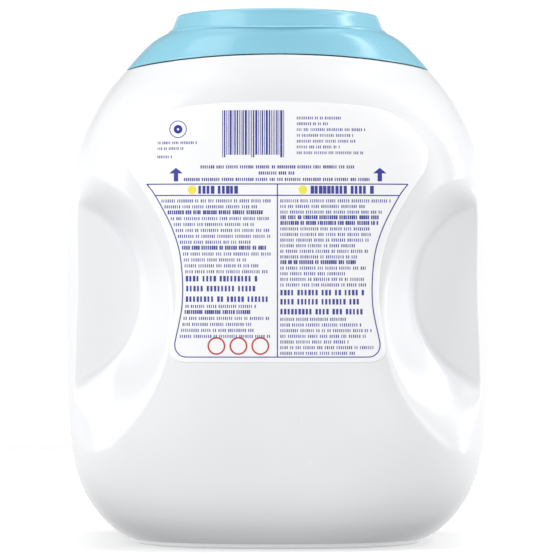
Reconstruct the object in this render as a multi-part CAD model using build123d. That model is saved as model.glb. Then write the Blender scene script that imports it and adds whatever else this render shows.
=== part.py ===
from build123d import *
import math
import os

# Laundry pod tub: a wide blow-moulded tub with four grip hollows, closed by a one-piece lid.
# Millimetres. +Z is up, X is the width, and the two large faces look along -Y and +Y.
# The origin is the middle of the foot, on the surface that the tub stands on.

# Driving dimensions
HALF_WIDTH = 110.3
HALF_DEPTH = 73.4
HEIGHT = 276.0
TUB_WALL = 1.3
LID_WALL = 1.6
LID_SKIN = 1.1

# Silhouettes of the tub and of the lid's skirt, as (height, half width) and (height, half depth)
SIDE_PROFILE = [(3, 79.4), (6.2, 84.4), (12.5, 90.9), (19, 95.8), (28, 100.9), (40, 104.9),
                (57, 107.4), (82, 109.2), (110, 110.2), (133, 110.3), (158, 110.0), (184, 108.5),
                (199, 105.9), (212, 101.7), (225, 95.6), (237, 88.3), (247, 80.2), (255, 73.2),
                (261, 67.2), (265, 61.4), (267.5, 55.5), (270, 47.0)]
FACE_PROFILE = [(3, 57.0), (6.2, 61.6), (12, 67.5), (18, 70.8), (26, 72.8), (40, HALF_DEPTH),
                (133, HALF_DEPTH), (200, 73.3), (222, 72.6), (234, 70.4), (243, 67.0), (252, 62.4),
                (258, 60.2), (264, 58.0), (267.5, 54.5), (270, 46.0)]
# How square the plan section is, as (height, superellipse exponent): 2 is an ellipse
SQUARENESS = [(3, 2.6), (20, 3.4), (52, 4.2), (90, 3.4), (133, 3.0), (180, 3.2), (205, 3.2), (228, 2.6),
              (242, 2.1), (248, 2.0), (270, 2.0)]

# Parting surface between tub and lid: a large cylinder along X, lowest at the two ends of the lid
PARTING_RADIUS = 420.0
PARTING_HEIGHT = 247.5
PARTING_GAP = 0.8

# Grip hollows: one in each corner of the body, centred on the side silhouette
GRIP_HEIGHT = 132.0
GRIP_RADIUS_X = 38.0
GRIP_RADIUS_Z = 46.5
BEVEL_START = 1.56
BEVEL_DEPTH = 8.5
GRIP_DEPTH = 17.0
CREASE_SOFTNESS = 0.035
BAR_INNER_X = 88.0
BAR_OUTER_X = 108.0

# Foot, with a pushed-up base
FOOT_HEIGHT = 3.0
FOOT_HALF_WIDTH = 76.3
FOOT_HALF_DEPTH = 54.0
FOOT_RIM = 9.0
FOOT_SQUARENESS = 2.5
PUSH_UP = 4.0

# Neck and mouth
DECK_HEIGHT = 246.0
NECK_RADIUS = 48.0
NECK_TOP = 270.4
NECK_WALL = 1.8
RIM_RADIUS = 48.8
RIM_HEIGHT = 2.0
LUG_COUNT = 4
LUG_ANGLE = 38.0
LUG_HEIGHT = 259.5
LUG_THICKNESS = 2.4

# Lid
BOSS_FOOT_RADIUS = 58.0
BOSS_FOOT_HEIGHT = 263.0
BOSS_TOP_RADIUS = 52.6
BOSS_EDGE_RADIUS = 1.8
TOP_RECESS_RADIUS = 46.0
TOP_RECESS_DEPTH = 0.8
RING_CLEARANCE = 0.5
RING_WALL = 1.4
RING_BOTTOM = 256.0

# Liner and labels
LINER_THICKNESS = 3.2
LABEL_THICKNESS = 0.25
LABEL_LIFT = 0.08
LID_LABEL_RADIUS = 44.0
LABEL_SPAN = 80.0
LABEL_LOW = 84.0
LABEL_HIGH = 240.0

# How finely the smooth body is drawn
SECTION_STEPS = 52
SLAB_STEPS = 24
SHOULDER_TOP = 268.0
LEVELS = ([3, 4.5, 6.5, 9.5, 13.5, 19, 26, 34, 44, 56, 67] + [76 + 5.5 * k for k in range(21)]
          + [194, 203, 212, 220, 228, 235, 241, 247, 252, 257, 261, 264, 266.5])


def smooth_value(points, height):
    """Smooth curve through (height, value) points, read at one height."""
    last = len(points) - 1
    height = min(max(height, points[0][0]), points[last][0])
    i = 0
    while i < last - 1 and height > points[i + 1][0]:
        i += 1

    def slope(k):
        low = points[max(k - 1, 0)]
        high = points[min(k + 1, last)]
        return (high[1] - low[1]) / (high[0] - low[0])

    step = points[i + 1][0] - points[i][0]
    t = (height - points[i][0]) / step
    rise = points[i + 1][1] - points[i][1]
    cubic = (slope(i) + slope(i + 1)) * step - 2 * rise
    square = 3 * rise - (2 * slope(i) + slope(i + 1)) * step
    return points[i][1] + t * (slope(i) * step + t * (square + t * cubic))


def ease(value):
    """Smooth step from 0 to 1."""
    t = min(max(value, 0.0), 1.0)
    return t * t * (3 - 2 * t)


def grip_depth(x, z, inset=0.0):
    """How far the face is pressed in at a place, in the direction of the depth."""
    across = (HALF_WIDTH - abs(x)) / GRIP_RADIUS_X
    upward = (z - GRIP_HEIGHT) / GRIP_RADIUS_Z
    ring = math.hypot(across, upward) - inset / GRIP_RADIUS_X
    bevel = BEVEL_DEPTH * ease((BEVEL_START - ring) / (BEVEL_START - 0.88))
    inside = (1.0 - ring) / 0.5
    inside = 0.5 * (inside + math.hypot(inside, CREASE_SOFTNESS * 4))
    inside = min(inside, 1.0)
    bowl = GRIP_DEPTH * inside * (2 - inside)
    bar = 1 - ease((abs(x) + inset - BAR_INNER_X) / (BAR_OUTER_X - BAR_INNER_X))
    return (bevel + bowl) * bar


def section_point(angle, z, inset=0.0, grips=True):
    """A point of the plan section at one height; inset moves the surface into the material."""
    if inset:
        half_x = min(smooth_value(SIDE_PROFILE, z - inset), smooth_value(SIDE_PROFILE, z + inset)) - inset
        half_y = min(smooth_value(FACE_PROFILE, z - inset), smooth_value(FACE_PROFILE, z + inset)) - inset
    else:
        half_x = smooth_value(SIDE_PROFILE, z)
        half_y = smooth_value(FACE_PROFILE, z)
    power = smooth_value(SQUARENESS, z)
    across = math.cos(angle)
    along = math.sin(angle)
    reach = (abs(across) ** power + abs(along) ** power) ** (-1 / power)
    x = half_x * across * reach
    y = half_y * along * reach
    if grips:
        y = max(y - grip_depth(x, z, inset), min(y, 0.35 * y))
    return x, y


def section_wire(z, inset=0.0, grips=True):
    """Closed plan section at one height: a front and a back curve, joined on the plane Y = 0."""
    points = []
    for k in range(SECTION_STEPS + 1):
        x, y = section_point(math.pi * k / SECTION_STEPS, z, inset, grips)
        if k in (0, SECTION_STEPS):
            y = 0.0
        points.append(Vector(x, -y, z))
    spacing = [k / SECTION_STEPS for k in range(SECTION_STEPS + 1)]
    mirrored = [Vector(p.X, -p.Y, p.Z) for p in reversed(points)]
    front = Edge.make_spline(points, parameters=spacing)
    back = Edge.make_spline(mirrored, parameters=spacing)
    return Wire([front, back])


def body_between(low, high, inset=0.0, grips=True):
    """Solid of the smooth body between two heights."""
    heights = [low] + [z for z in LEVELS if low + 0.4 < z < high - 0.4] + [high]
    return Solid.make_loft([section_wire(z, inset, grips) for z in heights])


def superellipse_prism(half_x, half_y, power, low, high, draft=0.0):
    """Upright prism on a superellipse; draft is how much each half axis grows on the way up."""
    wires = []
    for z, extra in ((low, 0.0), (high, draft)):
        points = []
        for k in range(48):
            across = math.cos(math.tau * k / 48)
            along = math.sin(math.tau * k / 48)
            reach = (abs(across) ** power + abs(along) ** power) ** (-1 / power)
            points.append(Vector((half_x + extra) * across * reach, (half_y + extra) * along * reach, z))
        wires.append(Wire([Edge.make_spline(points, periodic=True)]))
    return Solid.make_loft(wires, ruled=True)


def above_parting(offset=0.0):
    """Everything above the curved parting surface, as one block."""
    centre = Pos(0, 0, PARTING_HEIGHT + offset + PARTING_RADIUS) * Rot(0, 90, 0)
    trough = centre * Cylinder(PARTING_RADIUS, 3 * HALF_WIDTH)
    return trough & Pos(0, 0, HEIGHT) * Box(3 * HALF_WIDTH, 3 * HALF_DEPTH, 100)


def round_bar(radius, low, high):
    return Pos(0, 0, low) * Cylinder(radius, high - low, align=(Align.CENTER, Align.CENTER, Align.MIN))


def make_foot():
    """Foot ring, with the push-up of the base cut into it."""
    foot = superellipse_prism(FOOT_HALF_WIDTH - 1.2, FOOT_HALF_DEPTH - 1.2, FOOT_SQUARENESS, 0, 1.2, 1.2)
    foot += superellipse_prism(FOOT_HALF_WIDTH, FOOT_HALF_DEPTH, FOOT_SQUARENESS, 1.2, FOOT_HEIGHT + 0.5)
    return foot


def make_push_up(grow=0.0, low=0.0):
    """Space that the pushed-up base leaves under the tub."""
    half_x = FOOT_HALF_WIDTH - FOOT_RIM + grow
    half_y = FOOT_HALF_DEPTH - FOOT_RIM + grow
    return superellipse_prism(half_x, half_y, FOOT_SQUARENESS, low, PUSH_UP + grow, -2.0)


def make_inside():
    """Hollow of the tub, from its floor to the underside of the deck, with the channel in the foot."""
    floor = FOOT_HEIGHT + TUB_WALL
    inside = body_between(floor, DECK_HEIGHT - TUB_WALL, TUB_WALL)
    channel = superellipse_prism(FOOT_HALF_WIDTH - TUB_WALL, FOOT_HALF_DEPTH - TUB_WALL,
                                 FOOT_SQUARENESS, TUB_WALL, floor + 0.5)
    return inside + channel - make_push_up(TUB_WALL)


def make_lugs():
    """Short ribs round the neck, where the closure locks."""
    low = (NECK_RADIUS - 1, LUG_HEIGHT)
    high = (RIM_RADIUS, LUG_HEIGHT + LUG_THICKNESS)
    outline = Polyline(low, (high[0], low[1]), high, (low[0], high[1]), close=True)
    lug = revolve(Plane.XZ * make_face(outline), Axis.Z, LUG_ANGLE)
    return [Rot(0, 0, 360 * k / LUG_COUNT) * lug for k in range(LUG_COUNT)]


def make_neck():
    """Round neck on the deck, with a thicker rim at its mouth."""
    neck = round_bar(NECK_RADIUS, DECK_HEIGHT - TUB_WALL, NECK_TOP)
    rim = round_bar(RIM_RADIUS, NECK_TOP - RIM_HEIGHT, NECK_TOP)
    neck = fillet((neck + rim).edges().group_by(Axis.Z)[-1], 0.6)
    return neck + make_lugs()


def make_tub():
    below = body_between(FOOT_HEIGHT, PARTING_HEIGHT + 12) - above_parting(-PARTING_GAP)
    tub = below + make_foot()
    tub -= make_push_up()
    tub -= make_inside()
    tub -= body_between(DECK_HEIGHT, PARTING_HEIGHT + 20, TUB_WALL, grips=False)
    tub += make_neck()
    return tub - round_bar(NECK_RADIUS - NECK_WALL, DECK_HEIGHT - 10, NECK_TOP + 10)


def boss_profile(inset=0.0):
    """Half section of the round boss, from its foot to its flat top."""
    slope = (BOSS_FOOT_RADIUS - BOSS_TOP_RADIUS) / (HEIGHT - BOSS_FOOT_HEIGHT)
    low = PARTING_HEIGHT + 8
    foot = BOSS_FOOT_RADIUS + slope * (BOSS_FOOT_HEIGHT - low) - inset
    top = BOSS_TOP_RADIUS + slope * inset - inset
    return Polyline((0, low), (foot, low), (top, HEIGHT - inset), (0, HEIGHT - inset), close=True)


def make_boss(inset=0.0):
    """The boss as a body of revolution with a rounded top edge."""
    section = Plane.XZ * make_face(boss_profile(inset))
    boss = revolve(section, Axis.Z)
    return fillet(boss.edges().group_by(Axis.Z)[-1], BOSS_EDGE_RADIUS)


def make_lid():
    shoulder = body_between(PARTING_HEIGHT - 6, SHOULDER_TOP, grips=False) & above_parting()
    inner = body_between(PARTING_HEIGHT - 10, SHOULDER_TOP - LID_WALL, LID_SKIN, grips=False)
    lid = shoulder + (make_boss() & above_parting())
    lid -= inner
    lid -= make_boss(LID_WALL)
    lid -= round_bar(TOP_RECESS_RADIUS, HEIGHT - TOP_RECESS_DEPTH, HEIGHT + 1)
    inner_radius = RIM_RADIUS + RING_CLEARANCE
    ring = round_bar(inner_radius + RING_WALL, RING_BOTTOM, HEIGHT - LID_WALL)
    return lid + (ring - round_bar(inner_radius, RING_BOTTOM - 1, HEIGHT))


def make_liner():
    top = HEIGHT - LID_WALL - 0.3
    radius = RIM_RADIUS + 0.1
    return round_bar(radius, top - LINER_THICKNESS, top)


def label_outline():
    """Hourglass outline of the face labels, in the XZ plane."""
    side = [(50.3, 223.7), (65.4, 216.7), (74.5, 206.1), (76.2, 200.1), (74.5, 192.5), (67.9, 182.5),
            (58.0, 164.9), (52.6, 147.3), (51.2, 132.2), (51.8, 122.1), (53.8, 107.0)]
    right = Spline((0, 227.1), *side, (54.2, 100.5), tangents=((1, 0), (0.1, -1)))
    corner = Spline((54.2, 100.5), (52.0, 97.0), (47.8, 95.7), tangents=((0.1, -1), (-1, 0)))
    bottom = Line((47.8, 95.7), (0, 95.7))
    half = right + corner + bottom
    return make_face(half + mirror(half, Plane.YZ))


def face_slab(lift):
    """Thick block behind the plain middle of the face, whose front is raised by a small lift."""
    wires = []
    for z in [z for z in LEVELS if LABEL_LOW < z < LABEL_HIGH]:
        half_x = smooth_value(SIDE_PROFILE, z)
        half_y = smooth_value(FACE_PROFILE, z)
        power = smooth_value(SQUARENESS, z)
        points = []
        for k in range(SLAB_STEPS + 1):
            x = LABEL_SPAN * (2 * k / SLAB_STEPS - 1)
            y = half_y * (1 - abs(x / half_x) ** power) ** (1 / power)
            points.append(Vector(x, -y - lift, z))
        face_edge = Edge.make_spline(points, parameters=[k / SLAB_STEPS for k in range(SLAB_STEPS + 1)])
        corners = [points[-1], Vector(LABEL_SPAN, 0, z), Vector(-LABEL_SPAN, 0, z), points[0]]
        sides = [Edge.make_line(corners[k], corners[k + 1]) for k in range(3)]
        wires.append(Wire([face_edge] + sides))
    return Solid.make_loft(wires)


def make_back_label():
    """Thin label that follows the face looking along -Y."""
    sheet = face_slab(LABEL_LIFT + LABEL_THICKNESS) - face_slab(LABEL_LIFT)
    block = extrude(Plane.XZ * label_outline(), HALF_DEPTH + 5)
    return block & sheet


def make_lid_label():
    top = HEIGHT - TOP_RECESS_DEPTH
    return round_bar(LID_LABEL_RADIUS, top, top + LABEL_THICKNESS)


def main():
    os.makedirs("parts", exist_ok=True)
    back_label = make_back_label()
    parts = {
        "tub": make_tub(),
        "lid": make_lid(),
        "liner": make_liner(),
        "back_label": back_label,
        "front_label": mirror(back_label, Plane.XZ),
        "lid_label": make_lid_label(),
    }
    for name, shape in parts.items():
        export_step(shape, f"parts/{name}.step")


if __name__ == "__main__":
    main()
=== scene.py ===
import math
import random

import bpy
import numpy as np
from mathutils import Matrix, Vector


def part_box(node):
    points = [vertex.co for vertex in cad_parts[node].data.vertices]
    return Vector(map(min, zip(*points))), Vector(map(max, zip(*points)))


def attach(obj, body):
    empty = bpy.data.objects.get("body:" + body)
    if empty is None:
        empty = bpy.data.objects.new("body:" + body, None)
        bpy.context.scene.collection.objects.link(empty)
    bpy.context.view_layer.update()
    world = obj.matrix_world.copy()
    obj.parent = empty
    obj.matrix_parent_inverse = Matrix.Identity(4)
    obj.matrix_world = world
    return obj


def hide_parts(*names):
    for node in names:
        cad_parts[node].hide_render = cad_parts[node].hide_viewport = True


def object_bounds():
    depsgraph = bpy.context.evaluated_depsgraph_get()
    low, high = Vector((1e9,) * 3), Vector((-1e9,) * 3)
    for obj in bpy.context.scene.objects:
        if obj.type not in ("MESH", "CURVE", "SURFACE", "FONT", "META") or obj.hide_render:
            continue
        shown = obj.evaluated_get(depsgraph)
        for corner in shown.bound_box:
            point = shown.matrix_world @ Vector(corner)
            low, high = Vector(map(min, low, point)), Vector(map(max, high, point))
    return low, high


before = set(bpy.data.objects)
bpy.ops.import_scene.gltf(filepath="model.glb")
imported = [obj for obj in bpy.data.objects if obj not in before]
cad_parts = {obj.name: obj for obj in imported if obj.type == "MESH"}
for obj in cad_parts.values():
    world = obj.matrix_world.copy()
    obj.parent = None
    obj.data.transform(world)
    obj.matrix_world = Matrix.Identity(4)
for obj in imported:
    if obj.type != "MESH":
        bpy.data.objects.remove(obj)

CAD_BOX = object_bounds()
MM = 0.001

# ---------------------------------------------------------------------------------------------
# Sizes in millimetres. The overall ones come from the frame; the profiles are the CAD model's.
# ---------------------------------------------------------------------------------------------
TUB_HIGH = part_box("tub")[1]
LID_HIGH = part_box("lid")[1]
LINER_LOW, LINER_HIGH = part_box("liner")

HEIGHT = LID_HIGH[2] / MM
HALF_WIDTH = 110.3
HALF_DEPTH = 73.4
NECK_TOP = TUB_HIGH[2] / MM
TUB_WALL = 1.3

SIDE_PROFILE = [(3, 79.4), (6.2, 84.4), (12.5, 90.9), (19, 95.8), (28, 100.9), (40, 104.9),
                (57, 107.4), (82, 109.2), (110, 110.2), (133, 110.3), (158, 110.0), (184, 108.5),
                (199, 105.9), (212, 101.7), (225, 95.6), (237, 88.3), (247, 80.2), (255, 73.2),
                (261, 67.2), (265, 61.4), (267.5, 55.5), (270, 47.0)]
FACE_PROFILE = [(3, 57.0), (6.2, 61.6), (12, 67.5), (18, 70.8), (26, 72.8), (40, HALF_DEPTH),
                (133, HALF_DEPTH), (200, 73.3), (222, 72.6), (234, 70.4), (243, 67.0), (252, 62.4),
                (258, 60.2), (264, 58.0), (267.5, 54.5), (270, 46.0)]
SQUARENESS = [(3, 2.6), (20, 3.4), (52, 4.2), (90, 3.4), (133, 3.0), (180, 3.2), (205, 3.2), (228, 2.6),
              (242, 2.1), (248, 2.0), (270, 2.0)]

PARTING_RADIUS = 420.0
PARTING_HEIGHT = 247.5
PARTING_GAP = 0.8

# Grips: a steep wall, from the bevel's outline down to the grip's, and a nearly flat floor inside.
# The CAD model's grips are softer round bowls.
GRIP_HEIGHT = 131.0
GRIP_RADIUS_X = 41.5
GRIP_RADIUS_Z = 46.0
BEVEL_HEIGHT = 120.0
BEVEL_RADIUS_X = 57.5
BEVEL_RADIUS_Z = 74.0
BEVEL_CURVE = 1.35
CREASE_SOFTNESS = 0.08
GRIP_FLOOR = 42.0
BAR_SOFTNESS = 1.0

FOOT_HEIGHT = 3.0
FOOT_HALF_WIDTH = 76.3
FOOT_HALF_DEPTH = 54.0
FOOT_RIM = 9.0
FOOT_SQUARENESS = 2.5
PUSH_UP = 4.0

DECK_HEIGHT = 246.0
NECK_RADIUS = 48.0
NECK_BORE = 46.2
RIM_RADIUS = 48.8

BOSS_FOOT_RADIUS = 58.0
BOSS_FOOT_HEIGHT = 263.0
BOSS_TOP_RADIUS = 52.6
RECESS_RADIUS = 46.0
RECESS_DEPTH = 0.8
RING_RADIUS = 49.3
RING_WALL = 1.4
RING_BOTTOM = 256.0
LID_WALL = 1.6
LID_SKIN = 1.1


# ---------------------------------------------------------------------------------------------
# Shape functions, on whole arrays
# ---------------------------------------------------------------------------------------------
def smooth_value(points, height):
    """Smooth curve through (height, value) points, read at an array of heights."""
    xs = np.array([p[0] for p in points], float)
    ys = np.array([p[1] for p in points], float)
    height = np.clip(height, xs[0], xs[-1])
    i = np.clip(np.searchsorted(xs, height, side="left") - 1, 0, len(xs) - 2)
    slopes = np.empty(len(xs))
    slopes[1:-1] = (ys[2:] - ys[:-2]) / (xs[2:] - xs[:-2])
    slopes[0] = (ys[1] - ys[0]) / (xs[1] - xs[0])
    slopes[-1] = (ys[-1] - ys[-2]) / (xs[-1] - xs[-2])
    step = xs[i + 1] - xs[i]
    t = (height - xs[i]) / step
    rise = ys[i + 1] - ys[i]
    cubic = (slopes[i] + slopes[i + 1]) * step - 2 * rise
    square = 3 * rise - (2 * slopes[i] + slopes[i + 1]) * step
    return ys[i] + t * (slopes[i] * step + t * (square + t * cubic))


def ease(value):
    """Smooth step from 0 to 1."""
    t = np.clip(value, 0.0, 1.0)
    return t * t * (3 - 2 * t)


def grip_depth(x, y, z, inset=0.0):
    """How far a grip brings the wall in at (x, y, z); inset moves its outline in for the inner wall."""
    across = HALF_WIDTH - np.abs(x)
    ring = np.hypot(across / GRIP_RADIUS_X, (z - GRIP_HEIGHT) / GRIP_RADIUS_Z) - inset / GRIP_RADIUS_X
    bevel_ring = np.hypot(across / BEVEL_RADIUS_X, (z - BEVEL_HEIGHT) / BEVEL_RADIUS_Z)
    bevel_ring = bevel_ring - inset / BEVEL_RADIUS_X
    from_face = np.maximum(1 - bevel_ring, 1e-6) * BEVEL_RADIUS_X
    to_floor = np.maximum((ring - 1) * GRIP_RADIUS_X, -0.5 * from_face)
    down = from_face / (from_face + to_floor)
    down = np.maximum(0.5 * (down + 1 - np.hypot(down - 1, CREASE_SOFTNESS)), 0.0)
    above_floor = y - (GRIP_FLOOR - inset)
    most = 0.5 * (above_floor + np.hypot(above_floor, BAR_SOFTNESS))
    return np.minimum(most * down ** BEVEL_CURVE, y)


def section(angle, z, inset=0.0, grips=True):
    """Points of the plan section: angle and z are arrays of one shape."""
    if inset:
        half_x = np.minimum(smooth_value(SIDE_PROFILE, z - inset), smooth_value(SIDE_PROFILE, z + inset))
        half_y = np.minimum(smooth_value(FACE_PROFILE, z - inset), smooth_value(FACE_PROFILE, z + inset))
        half_x = half_x - inset
        half_y = half_y - inset
    else:
        half_x = smooth_value(SIDE_PROFILE, z)
        half_y = smooth_value(FACE_PROFILE, z)
    power = smooth_value(SQUARENESS, z)
    across = np.cos(angle)
    along = np.sin(angle)
    reach = (np.abs(across) ** power + np.abs(along) ** power) ** (-1 / power)
    x = half_x * across * reach
    y = half_y * along * reach
    if grips:
        size = np.abs(y)
        y = np.sign(y) * (size - grip_depth(x, size, z, inset))
    return x, y


def superellipse(angle, half_x, half_y, power):
    """Points of an oblong whose corners get squarer as power grows."""
    across = np.cos(angle)
    along = np.sin(angle)
    reach = (np.abs(across) ** power + np.abs(along) ** power) ** (-1 / power)
    return half_x * across * reach, half_y * along * reach


def parting_height(y):
    """Height of the curved joint between tub and lid."""
    return PARTING_HEIGHT + PARTING_RADIUS - np.sqrt(PARTING_RADIUS ** 2 - y * y)


def edge_heights(angle, offset, inset=0.0):
    """Height at which the body's skin meets the parting surface, for each angle."""
    z = np.full_like(angle, PARTING_HEIGHT)
    for _ in range(12):
        _, y = section(angle, z, inset, grips=False)
        z = parting_height(y) + offset
    return z


# ---------------------------------------------------------------------------------------------
# Mesh helpers
# ---------------------------------------------------------------------------------------------
ROUND_STEPS = 96


def link(obj):
    bpy.context.scene.collection.objects.link(obj)
    return obj


def mesh_object(name, points, faces, sharp_angle=None):
    """Smooth-shaded object from points in millimetres."""
    mesh = bpy.data.meshes.new(name)
    mesh.from_pydata([tuple(MM * c for c in p) for p in points], [], faces)
    mesh.validate()
    mesh.polygons.foreach_set("use_smooth", [True] * len(mesh.polygons))
    if sharp_angle:
        mesh.set_sharp_from_angle(angle=math.radians(sharp_angle))
    mesh.update()
    return link(bpy.data.objects.new(name, mesh))


def ring_mesh(name, rings, sharp_angle=None):
    """Closed skin through rings of equal count; the first and last ring close on a middle point."""
    rings = np.array(rings)
    count, steps, _ = rings.shape
    points = rings.reshape(-1, 3).tolist()
    faces = []
    for i in range(count - 1):
        for k in range(steps):
            a = i * steps + k
            b = i * steps + (k + 1) % steps
            faces.append((a, b, b + steps, a + steps))
    for ring, flip in ((0, True), (count - 1, False)):
        centre = rings[ring].mean(axis=0)
        points.append(centre.tolist())
        tip = len(points) - 1
        for k in range(steps):
            a = ring * steps + k
            b = ring * steps + (k + 1) % steps
            faces.append((b, a, tip) if flip else (a, b, tip))
    return mesh_object(name, points, faces, sharp_angle)


def ring_of(x, y, z):
    return np.stack([x, y, z + 0 * x], axis=1)


def circle_ring(angle, radius, z):
    return ring_of(radius * np.cos(angle), radius * np.sin(angle), z)


# ---------------------------------------------------------------------------------------------
# Tub: one skin from the pushed-up base, out over the body, in over the deck and down inside
# ---------------------------------------------------------------------------------------------
TUB_STEPS = 376
QUARTER_TURN = [math.radians(degrees) for degrees in (0, 30, 60, 90)]


def tub_angles():
    """Angles round the plan, twice as close over the grips as on the flat of the faces."""
    quarter = TUB_STEPS // 4
    fine = np.linspace(0, math.pi / 2, 400)
    weight = 1 + ease((fine - 0.12) / 0.12) * ease((1.2 - fine) / 0.12)
    total = np.concatenate([[0], np.cumsum((weight[1:] + weight[:-1]) / 2)])
    first = np.interp(np.arange(quarter) / quarter, total / total[-1], fine)
    second = math.pi - first[:0:-1]
    half = np.concatenate([first, [math.pi / 2], second])
    return np.concatenate([half, half + math.pi])


def spread(low, high, count, power=1.0):
    """count + 1 values from low to high, crowded towards low when power is over 1."""
    return [low + (high - low) * (k / count) ** power for k in range(count + 1)]


def base_rings(angle):
    """From the middle of the pushed-up base to the notch above the foot."""
    def foot(shrink, z):
        x, y = superellipse(angle, FOOT_HALF_WIDTH - shrink, FOOT_HALF_DEPTH - shrink, FOOT_SQUARENESS)
        return ring_of(x, y, z)

    rings = []
    for share in (0.35, 0.7, 0.9):
        rings.append(foot(FOOT_RIM + 2 + (1 - share) * 40, PUSH_UP))
    for t in QUARTER_TURN:
        rings.append(foot(FOOT_RIM + 2.6 - 1.2 * math.sin(t), PUSH_UP - 1.2 + 1.2 * math.cos(t)))
    for t in QUARTER_TURN:
        rings.append(foot(FOOT_RIM + 0.6 - 0.9 * math.sin(t), 0.9 - 0.9 * math.sin(t)))
    for t in QUARTER_TURN:
        rings.append(foot(1.4 - 1.4 * math.sin(t), 1.4 - 1.4 * math.cos(t)))
    rings.append(foot(0.0, 2.2))
    rings.append(foot(-0.25, 2.75))
    rings.append(foot(-0.9, FOOT_HEIGHT))
    return rings


def body_rings(angle):
    """The outer skin from the notch to the edge under the lid."""
    top = edge_heights(angle, -PARTING_GAP)
    shares = spread(0.0, 0.07, 12, 1.6)
    shares += [0.07 + (0.19 - 0.07) * k / 14 for k in range(1, 15)]
    shares += [0.19 + (0.86 - 0.19) * k / 122 for k in range(1, 123)]
    shares += [0.86 + (0.997 - 0.86) * k / 24 for k in range(1, 25)]
    rings = []
    for share in shares:
        z = FOOT_HEIGHT + (top - FOOT_HEIGHT) * share
        x, y = section(angle, z)
        rings.append(ring_of(x, y, z))
    x, y = section(angle, top)
    rings.append(ring_of(x * 0.9965, y * 0.9965, top))
    return rings


def deck_rings(angle):
    """Over the edge under the lid, across the deck and up the neck to its mouth."""
    rings = []
    top = edge_heights(angle, -PARTING_GAP, TUB_WALL)
    for drop in (0.0, 1.0, 2.0):
        z = np.maximum(top - drop, DECK_HEIGHT + 0.5)
        x, y = section(angle, z, TUB_WALL, grips=False)
        rings.append(ring_of(x, y, z))
    x, y = section(angle, np.full_like(angle, DECK_HEIGHT), TUB_WALL + 0.5, grips=False)
    rings.append(ring_of(x, y, DECK_HEIGHT))
    for share in (0.5, 0.9):
        circle_x = (NECK_RADIUS + 1) * np.cos(angle)
        circle_y = (NECK_RADIUS + 1) * np.sin(angle)
        rings.append(ring_of(x + (circle_x - x) * share, y + (circle_y - y) * share, DECK_HEIGHT))
    profile = [(NECK_RADIUS + 1.0, DECK_HEIGHT + 0.02), (NECK_RADIUS + 0.25, DECK_HEIGHT + 0.3),
               (NECK_RADIUS, DECK_HEIGHT + 1.2), (NECK_RADIUS, 258.5)]
    rings += [circle_ring(angle, r, z) for r, z in profile]
    rings += lug_rings(angle)
    rim_low = NECK_TOP - 2.0
    profile = [(NECK_RADIUS, 263.0), (NECK_RADIUS, rim_low - 0.7), (RIM_RADIUS - 0.1, rim_low),
               (RIM_RADIUS, rim_low + 0.4), (RIM_RADIUS, NECK_TOP - 0.6), (RIM_RADIUS - 0.2, NECK_TOP - 0.2),
               (RIM_RADIUS - 0.7, NECK_TOP), (NECK_BORE + 0.7, NECK_TOP), (NECK_BORE + 0.2, NECK_TOP - 0.2),
               (NECK_BORE, NECK_TOP - 0.7), (NECK_BORE, 258.0), (NECK_BORE, DECK_HEIGHT - 1.0),
               (NECK_BORE + 0.6, DECK_HEIGHT - TUB_WALL)]
    rings += [circle_ring(angle, r, z) for r, z in profile]
    return rings


def lug_rings(angle):
    """Four short ribs round the neck."""
    quarter = (np.degrees(angle) % 90) - 19
    swell = ease((20.5 - np.abs(quarter)) / 2.5)
    rings = []
    for z, share in ((259.4, 0.0), (259.6, 1.0), (261.7, 1.0), (261.95, 0.0)):
        rings.append(circle_ring(angle, NECK_RADIUS + (RIM_RADIUS - NECK_RADIUS) * swell * share, z))
    return rings


def inner_rings(angle):
    """The inside of the tub, from under the deck down to its floor."""
    rings = []
    high = DECK_HEIGHT - TUB_WALL
    low = FOOT_HEIGHT + TUB_WALL
    for share in (0.25, 0.6, 0.95):
        x, y = section(angle, np.full_like(angle, high), TUB_WALL + 0.6, grips=False)
        start_x = NECK_BORE * np.cos(angle)
        start_y = NECK_BORE * np.sin(angle)
        rings.append(ring_of(start_x + (x - start_x) * share, start_y + (y - start_y) * share, high))
    for k in range(31):
        z = np.full_like(angle, high - 0.8 - (high - 0.8 - low) * k / 30)
        x, y = section(angle, z, TUB_WALL)
        rings.append(ring_of(x, y, z))
    for shrink, z in ((TUB_WALL, low - 0.2), (TUB_WALL, TUB_WALL + 0.5), (TUB_WALL + 0.5, TUB_WALL),
                      (FOOT_RIM - TUB_WALL - 0.5, TUB_WALL), (FOOT_RIM - TUB_WALL, TUB_WALL + 0.5),
                      (FOOT_RIM - TUB_WALL, PUSH_UP + TUB_WALL - 0.4), (FOOT_RIM, PUSH_UP + TUB_WALL),
                      (FOOT_RIM + 20, PUSH_UP + TUB_WALL)):
        x, y = superellipse(angle, FOOT_HALF_WIDTH - shrink, FOOT_HALF_DEPTH - shrink, FOOT_SQUARENESS)
        rings.append(ring_of(x, y, z))
    return rings


def make_tub():
    angle = tub_angles()
    rings = base_rings(angle) + body_rings(angle) + deck_rings(angle) + inner_rings(angle)
    tub = ring_mesh("tub_skin", rings, sharp_angle=50)
    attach(tub, "tub")
    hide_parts("tub")
    return tub


# ---------------------------------------------------------------------------------------------
# Lid: oblong shoulder, bead and round boss outside; shoulder, ring and top plate inside
# ---------------------------------------------------------------------------------------------
LID_STEPS = 288
LINER_STEPS = 128


def boss_radius(z):
    """Radius of the tapered boss at height z."""
    slope = (BOSS_FOOT_RADIUS - BOSS_TOP_RADIUS) / (HEIGHT - BOSS_FOOT_HEIGHT)
    return BOSS_FOOT_RADIUS - slope * (z - BOSS_FOOT_HEIGHT)


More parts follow.
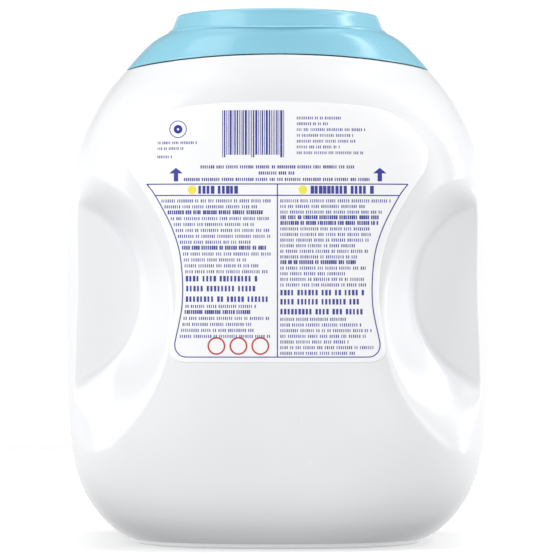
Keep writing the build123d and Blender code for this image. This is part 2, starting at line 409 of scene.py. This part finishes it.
def dome_radius(angle, z, inset=0.0):
    """Distance of the plain body's skin from the upright axis."""
    x, y = section(angle, z, inset, grips=False)
    return np.hypot(x, y)


def boss_foot_heights(angle, inset=0.0):
    """Height at which the shoulder meets the boss, for each angle."""
    low = np.full_like(angle, 256.0)
    high = np.full_like(angle, 269.5)
    for _ in range(30):
        middle = (low + high) / 2
        outside = dome_radius(angle, middle, inset) > boss_radius(middle) - inset
        low = np.where(outside, middle, low)
        high = np.where(outside, high, middle)
    return (low + high) / 2


def shoulder_rings(angle, offset, inset, count, upward):
    """Rings of the shoulder between the parting surface and the foot of the boss."""
    low = edge_heights(angle, offset, inset)
    high = boss_foot_heights(angle, inset)
    rings = []
    for k in range(count + 1):
        share = k / count if upward else 1 - k / count
        z = low + (high - low) * share
        x, y = section(angle, z, inset, grips=False)
        rings.append(ring_of(x, y, z))
    return rings


def bead_rings(angle):
    """Fine bead and groove round the foot of the boss."""
    foot = boss_foot_heights(angle)
    rings = []
    for out, up in ((1.3, -0.1), (1.25, 0.45), (0.95, 0.75), (0.5, 0.8), (0.2, 0.62), (0.0, 0.5),
                    (-0.12, 0.8)):
        radius = boss_radius(foot + up) + out
        rings.append(ring_of(radius * np.cos(angle), radius * np.sin(angle), foot + up))
    return rings


def top_rings(angle):
    """Boss wall, its rounded edge and the shallow recess in its top."""
    foot = boss_foot_heights(angle)
    rings = []
    edge = 2.2
    for k in range(1, 9):
        z = foot + 0.8 + (HEIGHT - edge - foot - 0.8) * k / 8
        radius = boss_radius(z)
        rings.append(ring_of(radius * np.cos(angle), radius * np.sin(angle), z))
    start = boss_radius(HEIGHT - edge)
    for turn in range(15, 91, 15):
        t = math.radians(turn)
        rings.append(circle_ring(angle, start - 1.8 * (1 - math.cos(t)), HEIGHT - edge + edge * math.sin(t)))
    for r, drop in ((RECESS_RADIUS + 0.4, 0.0), (RECESS_RADIUS, 0.15),
                    (RECESS_RADIUS - 0.1, RECESS_DEPTH - 0.15),
                    (RECESS_RADIUS - 0.4, RECESS_DEPTH), (RECESS_RADIUS * 0.5, RECESS_DEPTH)):
        rings.append(circle_ring(angle, r, HEIGHT - drop))
    return rings


def lid_inner_rings(angle):
    """Underside of the top plate, inner ring, inside of the boss and of the shoulder."""
    under = HEIGHT - LID_WALL
    inner = RING_RADIUS
    outer = RING_RADIUS + RING_WALL
    rings = []
    for r, z in ((inner * 0.5, under), (inner - 0.3, under), (inner, under - 0.3), (inner, RING_BOTTOM + 0.5),
                 (inner + 0.3, RING_BOTTOM), (outer - 0.3, RING_BOTTOM), (outer, RING_BOTTOM + 0.5),
                 (outer, under - 2.2)):
        rings.append(circle_ring(angle, r, z))
    foot = boss_foot_heights(angle, LID_SKIN)
    for share in (1.0, 0.5, 0.08):
        z = foot + (under - 2.4 - foot) * share
        radius = boss_radius(z) - LID_WALL
        rings.append(ring_of(radius * np.cos(angle), radius * np.sin(angle), z))
    return rings


def make_lid():
    angle = np.arange(LID_STEPS) * math.tau / LID_STEPS
    outside = shoulder_rings(angle, 0.35, 0.0, 26, upward=True)
    outside[-1:] = bead_rings(angle)
    outside += top_rings(angle)
    inside = lid_inner_rings(angle) + shoulder_rings(angle, 0.3, LID_SKIN, 16, upward=False)
    bottom_outer = edge_heights(angle, 0.0)
    x, y = section(angle, bottom_outer, 0.0, grips=False)
    lip_out = ring_of(x * 0.997, y * 0.997, bottom_outer)
    bottom_inner = edge_heights(angle, 0.0, LID_SKIN)
    x, y = section(angle, bottom_inner, LID_SKIN, grips=False)
    lip_in = ring_of(x * 1.004, y * 1.004, bottom_inner)
    rings = [lip_out] + outside + inside + [lip_in]
    lid = closed_loop_mesh("lid_shell", rings, sharp_angle=50, last_outside=len(outside))
    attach(lid, "lid")
    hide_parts("lid")
    return lid


def closed_loop_mesh(name, rings, sharp_angle, last_outside):
    """Skin through rings that start and end on the same edge; after ring number last_outside the outer
    skin closes on a middle point, and the inner skin starts again from one."""
    rings = np.array(rings)
    count, steps, _ = rings.shape
    points = rings.reshape(-1, 3).tolist()
    faces = []
    for i in range(count):
        if i == last_outside:
            continue
        following = (i + 1) % count
        for k in range(steps):
            m = (k + 1) % steps
            faces.append((i * steps + k, i * steps + m, following * steps + m, following * steps + k))
    for ring, flip in ((last_outside, False), (last_outside + 1, True)):
        points.append(rings[ring].mean(axis=0).tolist())
        tip = len(points) - 1
        for k in range(steps):
            a = ring * steps + k
            b = ring * steps + (k + 1) % steps
            faces.append((b, a, tip) if flip else (a, b, tip))
    return mesh_object(name, points, faces, sharp_angle)


def make_liner():
    """Foam disc with softly rounded edges and the dent that the neck's rim leaves in it."""
    angle = np.arange(LINER_STEPS) * math.tau / LINER_STEPS
    low = LINER_LOW[2] / MM
    high = LINER_HIGH[2] / MM
    radius = LINER_HIGH[0] / MM
    dent = 0.25
    profile = [(radius * 0.5, low), (NECK_BORE - 1.0, low), (NECK_BORE - 0.2, low + dent * 0.8),
               (NECK_BORE + 0.6, low + dent), (RIM_RADIUS - 0.6, low + dent),
               (radius - 0.3, low + dent + 0.1),
               (radius, low + 0.8), (radius, high - 0.6), (radius - 0.2, high - 0.2), (radius - 0.6, high),
               (radius * 0.5, high)]
    liner = ring_mesh("liner_foam_disc", [circle_ring(angle, r, z) for r, z in profile], sharp_angle=60)
    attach(liner, "liner")
    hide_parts("liner")
    return liner


# ---------------------------------------------------------------------------------------------
# Labels: film that follows the face, and print that lies on the film
# ---------------------------------------------------------------------------------------------
FILM_LIFT = 0.25
FILM_EDGE_LIFT = 0.03
PRINT_LIFT = 0.295
DISC_LIFT = 0.33
DOT_CENTRE = 0.02
BACK = -1
FRONT = 1

LABEL_SIDE = [(0, 227.1), (26, 226.4), (50.3, 223.7), (65.4, 216.7), (74.5, 206.1), (76.2, 200.1),
              (74.5, 192.5), (67.9, 182.5), (58.0, 164.9), (52.6, 147.3), (51.2, 132.2), (51.8, 122.1),
              (53.8, 107.0), (54.2, 100.5), (52.0, 97.0), (47.8, 95.7)]
BORDER_SIDE = [(65.9, 185.5), (61.4, 179.4), (54.1, 165.6), (49.8, 153.4), (48.2, 142.5), (47.7, 132.2),
               (48.2, 122.9), (49.6, 115.1), (51.1, 108.3), (51.7, 104.7), (51.1, 101.6), (48.9, 99.2),
               (46.5, 98.4)]
BORDER_WIDTH = 0.55


def curve_through(points, per_span=6):
    """Smooth curve through points in the plane, as (x, z) pairs."""
    p = np.array([points[0]] + list(points) + [points[-1]], float)
    made = []
    for i in range(1, len(p) - 2):
        for k in range(per_span):
            t = k / per_span
            bend = 2 * p[i - 1] - 5 * p[i] + 4 * p[i + 1] - p[i + 2]
            twist = -p[i - 1] + 3 * p[i] - 3 * p[i + 1] + p[i + 2]
            made.append(0.5 * (2 * p[i] + (p[i + 1] - p[i - 1]) * t + bend * t ** 2 + twist * t ** 3))
    made.append(p[-2])
    return np.array(made)


def face_reach(x, z):
    """How far the face stands from the middle plane, at places given by arrays x and z."""
    half_x = smooth_value(SIDE_PROFILE, z)
    half_y = smooth_value(FACE_PROFILE, z)
    power = smooth_value(SQUARENESS, z)
    reach = half_y * (1 - np.abs(x / half_x) ** power) ** (1 / power)
    return reach - grip_depth(x, reach, z)


def draped(name, flat, faces, lift, side):
    """Mesh of flat (x, z) points laid on one face of the tub, raised by lift."""
    flat = np.array(flat, float)
    y = side * (face_reach(flat[:, 0], flat[:, 1]) + lift)
    points = np.stack([flat[:, 0], y, flat[:, 1]], axis=1)
    if side == FRONT:
        faces = [tuple(reversed(f)) for f in faces]
    obj = mesh_object(name, points.tolist(), faces)
    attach(obj, "tub")
    return obj


def make_film(name, side):
    """The film of a face label, with its edge turned down to the face."""
    outline = curve_through(LABEL_SIDE)
    outline[:, 1] = np.minimum.accumulate(outline[:, 1])
    columns = 56
    flat = []
    lift = []
    for half, z in outline:
        half = max(half, 0.6)
        across = np.linspace(-half + 0.25, half - 0.25, columns)
        flat += [(-half, z)] + [(x, z) for x in across] + [(half, z)]
        lift += [FILM_EDGE_LIFT] + [FILM_LIFT] * columns + [FILM_EDGE_LIFT]
    width = columns + 2
    faces = []
    for i in range(len(outline) - 1):
        for k in range(width - 1):
            a = i * width + k
            faces.append((a, a + width, a + width + 1, a + 1))
    lift[:width] = [FILM_EDGE_LIFT] * width
    lift[-width:] = [FILM_EDGE_LIFT] * width
    film = draped(name, flat, faces, np.array(lift), side)
    return film


class Print:
    """Flat shapes of one colour, gathered and then laid on the film as one mesh."""

    def __init__(self):
        self.points = []
        self.faces = []

    def strip(self, one_side, other_side):
        """A band between two lines of points."""
        start = len(self.points)
        count = len(one_side)
        self.points += [tuple(p) for p in one_side] + [tuple(p) for p in other_side]
        for k in range(count - 1):
            self.faces.append((start + k, start + k + 1, start + count + k + 1, start + count + k))

    def bar(self, x0, x1, z0, z1, longest=2.5):
        """Upright rectangle, cut small enough to follow the face."""
        xs = np.linspace(x0, x1, int((x1 - x0) / longest) + 2)
        zs = np.linspace(z0, z1, int((z1 - z0) / longest) + 2)
        for low, high in zip(zs[:-1], zs[1:]):
            self.strip([(x, low) for x in xs], [(x, high) for x in xs])

    def ring(self, x, z, outer, inner, steps=40):
        """Flat ring round (x, z)."""
        turns = np.linspace(0, math.tau, steps + 1)
        self.strip([(x + outer * math.cos(t), z + outer * math.sin(t)) for t in turns],
                   [(x + inner * math.cos(t), z + inner * math.sin(t)) for t in turns])

    def stroke(self, line, width):
        """A line of even width along points in the plane."""
        line = np.array(line, float)
        along = np.gradient(line, axis=0)
        along /= np.linalg.norm(along, axis=1)[:, None]
        normal = np.stack([-along[:, 1], along[:, 0]], axis=1) * width / 2
        self.strip(line - normal, line + normal)

    def arrow(self, x, low, high):
        """Arrow that points up."""
        shaft = 1.1
        head = 3.45
        neck = high - 2.8
        self.bar(x - shaft, x + shaft, low, neck)
        self.strip([(x - head, neck), (x + head, neck)], [(x - 0.05, high), (x + 0.05, high)])

    def row(self, x0, x1, z, height, weight, seed):
        """A row of small blocks in word-like groups, standing for a line of print."""
        chance = random.Random(seed)
        pitch = height * 0.52
        x = x0
        while x < x1 - pitch:
            letters = chance.randint(2, 9)
            for _ in range(letters):
                if x > x1 - pitch:
                    break
                tall = height * (1.0 if weight > 0.7 else 0.8)
                wide = pitch * weight * chance.uniform(0.75, 1.15)
                self.bar(x, x + wide, z - height / 2, z - height / 2 + tall)
                x += pitch
            x += pitch * 0.7

    def lay(self, name, side, material, lift=PRINT_LIFT):
        """Make the mesh of all shapes so far, on one face of the tub."""
        obj = draped(name, self.points, self.faces, lift, side)
        obj.data.materials.append(material)
        return obj


def border_half(z):
    """Half width inside the printed border at height z."""
    points = sorted((height, half) for half, height in BORDER_SIDE)
    return float(np.interp(z, [p[0] for p in points], [p[1] for p in points]))


def print_border(ink):
    """Outline of the printed box, its heading line and its middle line."""
    side = curve_through(BORDER_SIDE, 5)
    for mirror in (-1, 1):
        ink.stroke(side * [mirror, 1], BORDER_WIDTH)
    half = BORDER_WIDTH / 2
    top, second, low = 185.5, 179.8, 98.4
    ink.bar(-border_half(top), border_half(top), top - half, top + half)
    ink.bar(-border_half(second), border_half(second), second - half, second + half)
    ink.bar(-border_half(low), border_half(low), low - half, low + half)
    ink.bar(-half, half, low, top)


def print_column(ink, side, rows, seed):
    """Ragged rows of print in one half of the box. rows holds (height, size, weight) of each row."""
    chance = random.Random(seed)
    for number, (z, size, weight) in enumerate(rows):
        ragged = chance.uniform(0, 13) * (1 if number % 3 else 0.2)
        if side < 0:
            start, end = -border_half(z) + 1.8, -2.0 - ragged
        else:
            start, end = 1.5, border_half(z) - 1.8 - ragged
        ink.row(start, end, z, size, weight, seed * 100 + number)


SMALL, LARGE, HEADING = 2.0, 3.5, 4.0
THIN, MEDIUM, BOLD = 0.5, 0.62, 0.78
HEADING_HEIGHT = 182.6


def rows_of(first, pitch, count, bold=()):
    """Evenly spaced small rows down from height first; the numbers in bold are heavier."""
    return [(first - pitch * k, SMALL, BOLD if k in bold else THIN) for k in range(count)]


def print_columns(ink):
    """The two columns of rows inside the box."""
    left = rows_of(177.2, 2.97, 13, bold=(2, 8))
    left += [(z, LARGE, MEDIUM) for z in (138.2, 133.2, 127.9)]
    left += rows_of(124.1, 3.02, 6, bold=(1,))
    print_column(ink, -1, left, seed=3)
    right = rows_of(177.2, 2.82, 16, bold=(3, 4, 11))
    right += [(z, LARGE, MEDIUM) for z in (131.2, 126.6, 121.6)]
    right += rows_of(117.6, 2.85, 7)
    print_column(ink, 1, right, seed=8)


BARS_LOW, BARS_HIGH = 200.2, 222.7
BARS_START, BARS_WIDTH = -27.8, 31.6
BAR_WIDTHS = [1, 2, 1, 1, 3, 1, 2, 2, 1, 1, 2, 3, 1, 1, 1, 2, 3, 1, 1, 2, 1, 3, 2, 1, 1, 1, 2, 1, 3, 1]
BAR_GAP = 1.35
LONG_BARS = (0, 1, 14, 15, 28, 29)


def print_bars(ink):
    """Upright bars of made-up widths, with no digits."""
    unit = BARS_WIDTH / (sum(BAR_WIDTHS) + BAR_GAP * len(BAR_WIDTHS))
    x = BARS_START
    for number, width in enumerate(BAR_WIDTHS):
        foot = BARS_LOW - 1.3 if number in LONG_BARS else BARS_LOW
        ink.bar(x, x + width * unit, foot, BARS_HIGH)
        x += (width + BAR_GAP) * unit


def print_upper_part(ink):
    """Bars, arrows and the short rows above the box."""
    print_bars(ink)
    for x in (-51.1, 51.6):
        ink.arrow(x, 186.9, 193.7)
    ink.ring(-50.1, 213.2, 4.4, 4.0)
    ink.ring(-50.1, 213.2, 2.2, 0.6)
    for x0, x1, z in ((-60.4, -39.7, 206.5), (-60.4, -46.3, 203.6), (-60.5, -52.2, 199.4)):
        ink.row(x0, x1, z, 1.7, THIN, seed=int(z))
    for number, length in enumerate((24.0, 16.6, 34.9, 29.0, 30.7, 22.3, 34.0)):
        ink.row(9.8, 9.8 + length, 218.9 - 2.92 * number, 1.8, THIN, seed=40 + number)
    for x0, x1, z in ((-38.7, 39.1, 194.3), (-9.4, 9.4, 191.2), (-47.1, 47.9, 188.0)):
        ink.row(x0, x1, z, SMALL, MEDIUM, seed=60 + int(z))


def print_back_label(colours):
    """All the print of the back label, one mesh a colour."""
    ink = Print()
    print_border(ink)
    print_upper_part(ink)
    for x0, x1 in ((-39.8, -18.7), (16.7, 50.6)):
        ink.row(x0, x1, HEADING_HEIGHT, HEADING, 0.8, seed=int(x1))
    print_columns(ink)
    ink.lay("back_label_print", BACK, colours["blue"])

    dots = Print()
    for x in (-43.0, 12.8):
        dots.ring(x, HEADING_HEIGHT, 2.2, DOT_CENTRE)
    dots.lay("back_label_dots", BACK, colours["yellow"])

    rings = Print()
    for x in (-30.7, -19.6, -8.6):
        rings.ring(x, 104.0, 4.5, 3.7)
    rings.lay("back_label_rings", BACK, colours["red"])


def print_front_label(colours):
    """A plain aqua field with a white line round it, and three plain discs."""
    outline = curve_through(LABEL_SIDE)
    field = Print()
    inset = [(max(x - 3.2, 0.0), 100 + (z - 100) * 0.975 + 1.2) for x, z in outline]
    field_rows = [np.linspace(-x, x, 45) for x, _ in inset]
    for i in range(len(inset) - 1):
        upper = [(x, inset[i][1]) for x in field_rows[i]]
        lower = [(x, inset[i + 1][1]) for x in field_rows[i + 1]]
        field.strip(upper, lower)
    field.lay("front_label_field", FRONT, colours["aqua"])
    discs = Print()
    for x, z, radius in ((-27.0, 158.0, 12.0), (0.0, 166.0, 15.0), (27.0, 158.0, 12.0)):
        radii = np.linspace(DOT_CENTRE, radius, 9)
        for inner, outer in zip(radii, radii[1:]):
            discs.ring(x, z, outer, inner, steps=60)
    discs.lay("front_label_discs", FRONT, colours["white"], lift=DISC_LIFT)


def make_lid_label(material, colours):
    """Round film in the recess on top, with a plain printed ring."""
    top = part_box("lid_label")[1][2] / MM
    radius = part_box("lid_label")[1][0] / MM
    angle = np.arange(ROUND_STEPS) * math.tau / ROUND_STEPS
    profile = [(radius, top - 0.22), (radius, top - 0.08), (radius - 0.2, top - 0.04),
               (radius * 0.5, top - 0.04)]
    rings = [circle_ring(angle, r, z) for r, z in profile]
    film = ring_mesh("lid_label_film", rings[::-1], sharp_angle=60)
    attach(film, "lid")
    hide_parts("lid_label")
    film.data.materials.append(material)

    points = []
    faces = []
    for r in (radius - 3.0, radius - 5.5):
        points += circle_ring(angle, r, top).tolist()
    count = len(angle)
    for k in range(count):
        m = (k + 1) % count
        faces.append((k, m, count + m, count + k))
    ring = mesh_object("lid_label_ring", points, faces)
    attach(ring, "lid")
    ring.data.materials.append(colours["aqua"])


# ---------------------------------------------------------------------------------------------
# Materials
# ---------------------------------------------------------------------------------------------
class Nodes:
    """Short names for building a node material."""

    def __init__(self, name):
        self.material = bpy.data.materials.new(name)
        self.material.use_nodes = True
        self.tree = self.material.node_tree
        self.shader = self.tree.nodes["Principled BSDF"]
        self.place = self.tree.nodes.new("ShaderNodeTexCoord").outputs["Object"]

    def link(self, source, target):
        self.tree.links.new(source, target)

    def noise(self, scale, detail=3.0, stretch=(1, 1, 1), distortion=0.0):
        mapping = self.tree.nodes.new("ShaderNodeMapping")
        mapping.inputs["Scale"].default_value = stretch
        self.link(self.place, mapping.inputs["Vector"])
        noise = self.tree.nodes.new("ShaderNodeTexNoise")
        noise.inputs["Scale"].default_value = scale
        noise.inputs["Detail"].default_value = detail
        noise.inputs["Distortion"].default_value = distortion
        self.link(mapping.outputs["Vector"], noise.inputs["Vector"])
        return noise.outputs["Fac"]

    def range(self, value, low, high, new_low, new_high):
        node = self.tree.nodes.new("ShaderNodeMapRange")
        node.inputs["From Min"].default_value = low
        node.inputs["From Max"].default_value = high
        node.inputs["To Min"].default_value = new_low
        node.inputs["To Max"].default_value = new_high
        self.link(value, node.inputs["Value"])
        return node.outputs["Result"]

    def maths(self, operation, one, other=None):
        node = self.tree.nodes.new("ShaderNodeMath")
        node.operation = operation
        for socket, value in zip(node.inputs, (one, other)):
            if isinstance(value, (int, float)):
                socket.default_value = value
            elif value is not None:
                self.link(value, socket)
        return node.outputs["Value"]

    def base_colour(self, factor, deep, pale):
        """Shader colour between two colours, by a factor."""
        node = self.tree.nodes.new("ShaderNodeMix")
        node.data_type = "RGBA"
        coloured = {socket.name: socket for socket in node.inputs if socket.type == "RGBA"}
        coloured["A"].default_value = (*deep, 1)
        coloured["B"].default_value = (*pale, 1)
        self.link(factor, node.inputs["Factor"])
        result = next(socket for socket in node.outputs if socket.type == "RGBA")
        self.link(result, self.shader.inputs["Base Color"])

    def bump(self, height, distance, strength=1.0, below=None):
        node = self.tree.nodes.new("ShaderNodeBump")
        node.inputs["Distance"].default_value = distance
        node.inputs["Strength"].default_value = strength
        self.link(height, node.inputs["Height"])
        if below is not None:
            self.link(below, node.inputs["Normal"])
        return node.outputs["Normal"]

    def axis(self, name):
        node = self.tree.nodes.new("ShaderNodeSeparateXYZ")
        self.link(self.place, node.inputs["Vector"])
        return node.outputs[name]


def moulded_plastic(name, pale, deep, rough, peel, seam):
    """Gloss plastic: slow colour drift, orange-peel bump, handling marks and, on a blown wall, a seam."""
    n = Nodes(name)
    n.shader.inputs["IOR"].default_value = 1.5
    n.base_colour(n.range(n.noise(14.0, 4.0), 0.3, 0.7, 0.0, 1.0), deep, pale)
    smears = n.noise(38.0, 6.0, stretch=(1.0, 1.0, 0.22), distortion=0.6)
    scuffs = n.noise(900.0, 2.0, stretch=(1.0, 1.0, 0.06))
    marks = n.maths("MULTIPLY", n.range(smears, 0.56, 0.78, 0.0, 1.0), n.range(scuffs, 0.5, 0.75, 0.0, 1.0))
    base = n.range(smears, 0.3, 0.7, rough - 0.03, rough + 0.05)
    n.link(n.maths("ADD", base, n.maths("MULTIPLY", marks, 0.05)), n.shader.inputs["Roughness"])
    wide = n.bump(n.noise(120.0, 2.0), peel * 6, 0.3)
    fine = n.bump(n.noise(700.0, 2.0), peel, 0.5, below=wide)
    if seam:
        away = n.maths("ABSOLUTE", n.axis("Y"))
        ridge = n.range(away, 0.0001, 0.00035, 1.0, 0.0)
        fine = n.bump(ridge, 0.00007, 0.8, below=fine)
    n.link(fine, n.shader.inputs["Normal"])
    return n.material


def printed_film(name, pale, deep, rough=0.34):
    """Satin film or ink: slight unevenness of tone and a soft pebble in the gloss."""
    n = Nodes(name)
    n.shader.inputs["IOR"].default_value = 1.48
    n.base_colour(n.range(n.noise(60.0, 5.0), 0.3, 0.7, 0.0, 1.0), deep, pale)
    n.link(n.range(n.noise(240.0, 3.0), 0.3, 0.7, rough - 0.05, rough + 0.07), n.shader.inputs["Roughness"])
    n.link(n.bump(n.noise(1500.0, 2.0), 0.00002, 0.35), n.shader.inputs["Normal"])
    return n.material


def foam(name):
    """Fine closed-cell foam."""
    n = Nodes(name)
    cells = n.tree.nodes.new("ShaderNodeTexVoronoi")
    cells.inputs["Scale"].default_value = 1400.0
    n.link(n.place, cells.inputs["Vector"])
    factor = n.range(cells.outputs["Distance"], 0.0, 0.6, 0.0, 1.0)
    n.base_colour(factor, (0.78, 0.78, 0.75), (0.9, 0.9, 0.88))
    n.link(n.range(n.noise(90.0, 3.0), 0.3, 0.7, 0.72, 0.9), n.shader.inputs["Roughness"])
    n.link(n.bump(cells.outputs["Distance"], 0.0001, 0.6), n.shader.inputs["Normal"])
    return n.material


# ---------------------------------------------------------------------------------------------
# Studio
# ---------------------------------------------------------------------------------------------
def make_world():
    """Pale surround: white at the height of the horizon, softer above and below."""
    world = bpy.data.worlds.new("surround")
    bpy.context.scene.world = world
    world.use_nodes = True
    tree = world.node_tree
    place = tree.nodes.new("ShaderNodeTexCoord").outputs["Generated"]
    split = tree.nodes.new("ShaderNodeSeparateXYZ")
    tree.links.new(place, split.inputs["Vector"])
    to_ramp = tree.nodes.new("ShaderNodeMapRange")
    to_ramp.inputs["From Min"].default_value = -1.0
    to_ramp.inputs["From Max"].default_value = 1.0
    tree.links.new(split.outputs["Z"], to_ramp.inputs["Value"])
    ramp = tree.nodes.new("ShaderNodeValToRGB")
    tree.links.new(to_ramp.outputs["Result"], ramp.inputs["Fac"])
    stops = [(0.0, 0.2), (0.15, 0.3), (0.25, 0.65), (0.34, 0.9), (0.42, 1.0), (0.56, 1.0), (0.64, 0.26),
             (1.0, 0.26)]
    elements = ramp.color_ramp.elements
    while len(elements) < len(stops):
        elements.new(0.5)
    for element, (position, tone) in zip(elements, stops):
        element.position = position
        element.color = (tone, tone, tone, 1)
    background = tree.nodes["Background"]
    tree.links.new(ramp.outputs["Color"], background.inputs["Color"])
    background.inputs["Strength"].default_value = 1.04


def aim(obj, target):
    direction = target - obj.location
    obj.rotation_euler = direction.to_track_quat("-Z", "Y").to_euler()


def softbox(name, azimuth, height, distance, size, radiance, target):
    """Rectangular light at an azimuth round the object, 0 being the camera's side and 90 its right."""
    light = bpy.data.lights.new(name, "AREA")
    light.shape = "RECTANGLE"
    light.size, light.size_y = size
    light.energy = radiance * math.pi * size[0] * size[1]
    obj = link(bpy.data.objects.new(name, light))
    turn = math.radians(azimuth)
    obj.location = (distance * math.sin(turn), -distance * math.cos(turn), height)
    aim(obj, target)
    obj.visible_camera = False
    return obj


def make_lights(target):
    """Soft light from both sides, with a bright strip on the right that draws the edges."""
    softbox("left_softbox", -66, 0.75, 1.5, (1.1, 1.9), 2.8, target)
    softbox("right_strip", 91, 0.75, 1.4, (0.28, 1.9), 8.0, target)
    softbox("right_softbox", 58, 0.6, 1.6, (0.5, 1.4), 2.2, target)
    softbox("front_softbox", -5, 0.25, 1.9, (1.6, 0.6), 1.6, target)
    softbox("top_softbox", 180, 1.9, 0.2, (1.6, 1.2), 2.4, target)


def make_floor():
    """Round pale floor that takes shadows. It is hidden from bounced and mirrored light, as if far off."""
    angle = np.arange(ROUND_STEPS) * math.tau / ROUND_STEPS
    rings = [circle_ring(angle, radius, 0.0) for radius in (60, 120, 250, 500, 900)]
    points = [(0, 0, 0)] + [tuple(p) for ring in rings for p in ring]
    faces = [(0, 1 + k, 1 + (k + 1) % ROUND_STEPS) for k in range(ROUND_STEPS)]
    for i in range(len(rings) - 1):
        for k in range(ROUND_STEPS):
            a = 1 + i * ROUND_STEPS + k
            b = 1 + i * ROUND_STEPS + (k + 1) % ROUND_STEPS
            faces.append((a, a + ROUND_STEPS, b + ROUND_STEPS, b))
    floor = mesh_object("floor", points, faces)
    floor.visible_diffuse = False
    floor.visible_glossy = False
    material = bpy.data.materials.new("pale_floor")
    material.use_nodes = True
    shader = material.node_tree.nodes["Principled BSDF"]
    shader.inputs["Base Color"].default_value = (0.9, 0.9, 0.9, 1)
    shader.inputs["Roughness"].default_value = 0.8
    shader.inputs["Emission Color"].default_value = (1, 1, 1, 1)
    shader.inputs["Emission Strength"].default_value = 0.25
    floor.data.materials.append(material)


CAMERA_LENS = 192.0
CAMERA_PLACE = (0.0003, -1.5655, 0.1382)


def make_camera():
    """Long lens, level and square to the back face."""
    data = bpy.data.cameras.new("camera")
    data.lens = CAMERA_LENS
    data.sensor_width = 36.0
    camera = link(bpy.data.objects.new("camera", data))
    camera.location = CAMERA_PLACE
    camera.rotation_euler = (math.radians(90), 0, 0)
    bpy.context.scene.camera = camera


# ---------------------------------------------------------------------------------------------
# The whole thing
# ---------------------------------------------------------------------------------------------
PEEL = 0.00002
FILMS = (("back_label_film", BACK, "back_label"), ("front_label_film", FRONT, "front_label"))


def main():
    white = moulded_plastic("white_plastic", (0.80, 0.81, 0.825), (0.775, 0.785, 0.805), 0.2, PEEL, seam=True)
    aqua = moulded_plastic("aqua_plastic", (0.25, 0.555, 0.69), (0.235, 0.53, 0.665), 0.22, PEEL, seam=False)
    film = printed_film("label_film", (0.93, 0.93, 0.94), (0.90, 0.905, 0.92))
    colours = {
        "blue": printed_film("blue_ink", (0.022, 0.03, 0.34), (0.018, 0.024, 0.28)),
        "red": printed_film("red_ink", (0.56, 0.014, 0.008), (0.48, 0.011, 0.007)),
        "yellow": printed_film("yellow_ink", (0.93, 0.8, 0.05), (0.88, 0.74, 0.04)),
        "aqua": printed_film("aqua_ink", (0.33, 0.68, 0.80), (0.30, 0.64, 0.77)),
        "white": printed_film("white_ink", (0.93, 0.94, 0.95), (0.9, 0.91, 0.93)),
    }
    make_tub().data.materials.append(white)
    make_lid().data.materials.append(aqua)
    make_liner().data.materials.append(foam("foam"))
    for name, side, node in FILMS:
        sheet = make_film(name, side)
        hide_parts(node)
        sheet.data.materials.append(film)
    print_back_label(colours)
    print_front_label(colours)
    make_lid_label(film, colours)
    make_world()
    low, high = CAD_BOX
    make_lights((low + high) / 2)
    make_floor()
    make_camera()
    bpy.context.scene.view_settings.view_transform = "Standard"


main()
